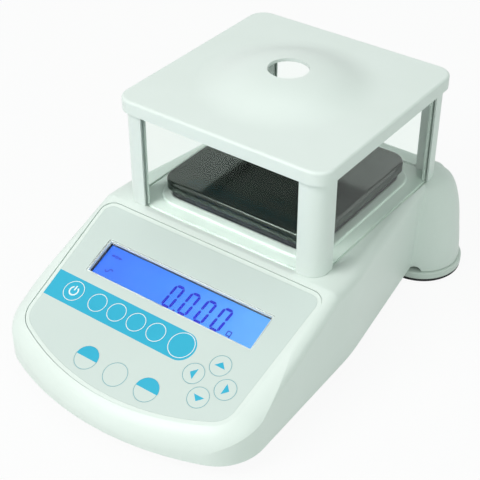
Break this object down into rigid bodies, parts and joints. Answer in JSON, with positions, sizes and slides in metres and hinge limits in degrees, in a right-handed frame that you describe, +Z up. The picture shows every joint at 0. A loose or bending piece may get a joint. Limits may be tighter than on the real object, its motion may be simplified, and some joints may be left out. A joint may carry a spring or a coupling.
{
  "type": "precision balance",
  "caption": "Bench precision balance with a sloping key panel and display, square steel pan under a glass draft shield with a domed lid, and levelling feet.",
  "frame": {"origin": "on the table, under the middle of the whole balance", "axes": "+Z up, -Y towards the user and the control panel, +X to the user's right"},
  "size_m": [0.2276, 0.349, 0.186],
  "materials": {
    "housing_plastic": "satin off-white moulded plastic",
    "base_plastic": "plain grey-white moulded plastic",
    "shield_plastic": "satin white moulded plastic",
    "wheel_plastic": "satin grey-white moulded plastic",
    "overlay_grey": "fine matt printed film, light grey",
    "key_cyan": "matt printed film, cyan",
    "key_grey": "matt printed film, light grey with cyan print",
    "window_clear": "clear display window",
    "frame_black": "black display frame",
    "display_blue": "blue backlit liquid crystal display",
    "board_green": "solder-resist green circuit board",
    "switch_black": "black moulded plastic",
    "screw_steel": "zinc-plated steel",
    "insert_brass": "plain brass",
    "black_rubber": "black rubber",
    "cell_aluminium": "machined aluminium",
    "carrier_black": "black moulded plastic",
    "pan_steel": "polished stainless steel",
    "pane_glass": "clear float glass with green edges",
    "vial_clear": "clear acrylic vial with tinted liquid"
  },
  "bodies": {
    "housing": {"upper_housing": "housing_plastic", "base_plate": "base_plastic", "case_screws": "screw_steel", "load_cell_screws": "screw_steel", "front_feet": "black_rubber", "front_foot_screws": "screw_steel", "threaded_inserts": "insert_brass", "panel_plate": "housing_plastic", "keypad_overlay": "overlay_grey", "lcd_window": "window_clear", "lcd_frame": "frame_black", "lcd_module": "display_blue", "display_board": "board_green", "tact_switches": "switch_black", "display_board_screws": "screw_steel", "main_board": "board_green", "main_board_screws": "screw_steel", "load_cell_block": "cell_aluminium", "load_cell": "cell_aluminium", "load_frame": "cell_aluminium", "level_body": "carrier_black", "level_vial": "vial_clear", "dc_inlet": "switch_black", "data_port": "switch_black"},
    "carrier": {"pan_carrier": "carrier_black", "pan_buffers": "black_rubber"},
    "pan": {"weighing_pan": "pan_steel"},
    "shield": {"front_left_post": "shield_plastic", "front_right_post": "shield_plastic", "rear_left_post": "shield_plastic", "rear_right_post": "shield_plastic", "front_glass": "pane_glass", "rear_glass": "pane_glass", "left_glass": "pane_glass", "right_glass": "pane_glass"},
    "lid": {"shield_lid": "shield_plastic"},
    "left_sole": {"left_foot_sole": "black_rubber"},
    "left_wheel": {"left_foot_wheel": "wheel_plastic", "left_foot_stud": "screw_steel"},
    "right_sole": {"right_foot_sole": "black_rubber"},
    "right_wheel": {"right_foot_wheel": "wheel_plastic", "right_foot_stud": "screw_steel"},
    "key_power_body": {"key_power": "key_cyan"},
    "key_setup_body": {"key_setup": "key_cyan"},
    "key_blank_body": {"key_blank": "key_grey"},
    "key_function_1_body": {"key_function_1": "key_cyan"},
    "key_function_2_body": {"key_function_2": "key_cyan"},
    "key_function_3_body": {"key_function_3": "key_cyan"},
    "key_function_4_body": {"key_function_4": "key_cyan"},
    "key_tare_left_body": {"key_tare_left": "key_grey"},
    "key_tare_right_body": {"key_tare_right": "key_grey"},
    "key_arrow_left_body": {"key_arrow_left": "key_grey"},
    "key_arrow_right_body": {"key_arrow_right": "key_grey"},
    "key_arrow_down_body": {"key_arrow_down": "key_grey"},
    "key_arrow_up_body": {"key_arrow_up": "key_grey"}
  },
  "joints": [
    {"name": "carrier_lift", "type": "slide", "parent": "housing", "child": "carrier", "axis": [0, 0, 1], "range_m": [0, 0.03]},
    {"name": "pan_lift", "type": "slide", "parent": "carrier", "child": "pan", "axis": [0, 0, 1], "range_m": [0, 0.035]},
    {"name": "shield_lift", "type": "slide", "parent": "housing", "child": "shield", "axis": [0, 0, 1], "range_m": [0, 0.11]},
    {"name": "lid_lift", "type": "slide", "parent": "shield", "child": "lid", "axis": [0, 0, 1], "range_m": [0, 0.04]},
    {"name": "left_foot_lift", "type": "slide", "parent": "housing", "child": "left_sole", "axis": [0, 0, 1], "range_m": [-0.008, 0]},
    {"name": "left_foot_turn", "type": "hinge", "parent": "left_sole", "child": "left_wheel", "pos_m": [-0.08, 0.1407, 0.0055], "axis": [0, 0, 1], "range_deg": [-2300, 0]},
    {"name": "right_foot_lift", "type": "slide", "parent": "housing", "child": "right_sole", "axis": [0, 0, 1], "range_m": [-0.008, 0]},
    {"name": "right_foot_turn", "type": "hinge", "parent": "right_sole", "child": "right_wheel", "pos_m": [0.08, 0.1407, 0.0055], "axis": [0, 0, 1], "range_deg": [-2300, 0]},
    {"name": "key_power_press", "type": "slide", "parent": "housing", "child": "key_power_body", "axis": [0, 0.3665, -0.9304], "range_m": [0, 0.0004], "stiffness_N_per_m": 2000, "springref_m": -0.0002},
    {"name": "key_setup_press", "type": "slide", "parent": "housing", "child": "key_setup_body", "axis": [0, 0.3665, -0.9304], "range_m": [0, 0.0004], "stiffness_N_per_m": 2000, "springref_m": -0.0002},
    {"name": "key_blank_press", "type": "slide", "parent": "housing", "child": "key_blank_body", "axis": [0, 0.3665, -0.9304], "range_m": [0, 0.0004], "stiffness_N_per_m": 2000, "springref_m": -0.0002},
    {"name": "key_function_1_press", "type": "slide", "parent": "housing", "child": "key_function_1_body", "axis": [0, 0.3665, -0.9304], "range_m": [0, 0.0004], "stiffness_N_per_m": 2000, "springref_m": -0.0002},
    {"name": "key_function_2_press", "type": "slide", "parent": "housing", "child": "key_function_2_body", "axis": [0, 0.3665, -0.9304], "range_m": [0, 0.0004], "stiffness_N_per_m": 2000, "springref_m": -0.0002},
    {"name": "key_function_3_press", "type": "slide", "parent": "housing", "child": "key_function_3_body", "axis": [0, 0.3665, -0.9304], "range_m": [0, 0.0004], "stiffness_N_per_m": 2000, "springref_m": -0.0002},
    {"name": "key_function_4_press", "type": "slide", "parent": "housing", "child": "key_function_4_body", "axis": [0, 0.3665, -0.9304], "range_m": [0, 0.0004], "stiffness_N_per_m": 2000, "springref_m": -0.0002},
    {"name": "key_tare_left_press", "type": "slide", "parent": "housing", "child": "key_tare_left_body", "axis": [0, 0.3665, -0.9304], "range_m": [0, 0.0004], "stiffness_N_per_m": 2000, "springref_m": -0.0002},
    {"name": "key_tare_right_press", "type": "slide", "parent": "housing", "child": "key_tare_right_body", "axis": [0, 0.3665, -0.9304], "range_m": [0, 0.0004], "stiffness_N_per_m": 2000, "springref_m": -0.0002},
    {"name": "key_arrow_left_press", "type": "slide", "parent": "housing", "child": "key_arrow_left_body", "axis": [0, 0.3665, -0.9304], "range_m": [0, 0.0004], "stiffness_N_per_m": 2000, "springref_m": -0.0002},
    {"name": "key_arrow_right_press", "type": "slide", "parent": "housing", "child": "key_arrow_right_body", "axis": [0, 0.3665, -0.9304], "range_m": [0, 0.0004], "stiffness_N_per_m": 2000, "springref_m": -0.0002},
    {"name": "key_arrow_down_press", "type": "slide", "parent": "housing", "child": "key_arrow_down_body", "axis": [0, 0.3665, -0.9304], "range_m": [0, 0.0004], "stiffness_N_per_m": 2000, "springref_m": -0.0002},
    {"name": "key_arrow_up_press", "type": "slide", "parent": "housing", "child": "key_arrow_up_body", "axis": [0, 0.3665, -0.9304], "range_m": [0, 0.0004], "stiffness_N_per_m": 2000, "springref_m": -0.0002}
  ],
  "couplings": [
    {"joint": "left_foot_lift", "follows": "left_foot_turn", "m_per_rad": 0.00019894},
    {"joint": "right_foot_lift", "follows": "right_foot_turn", "m_per_rad": 0.00019894}
  ]
}
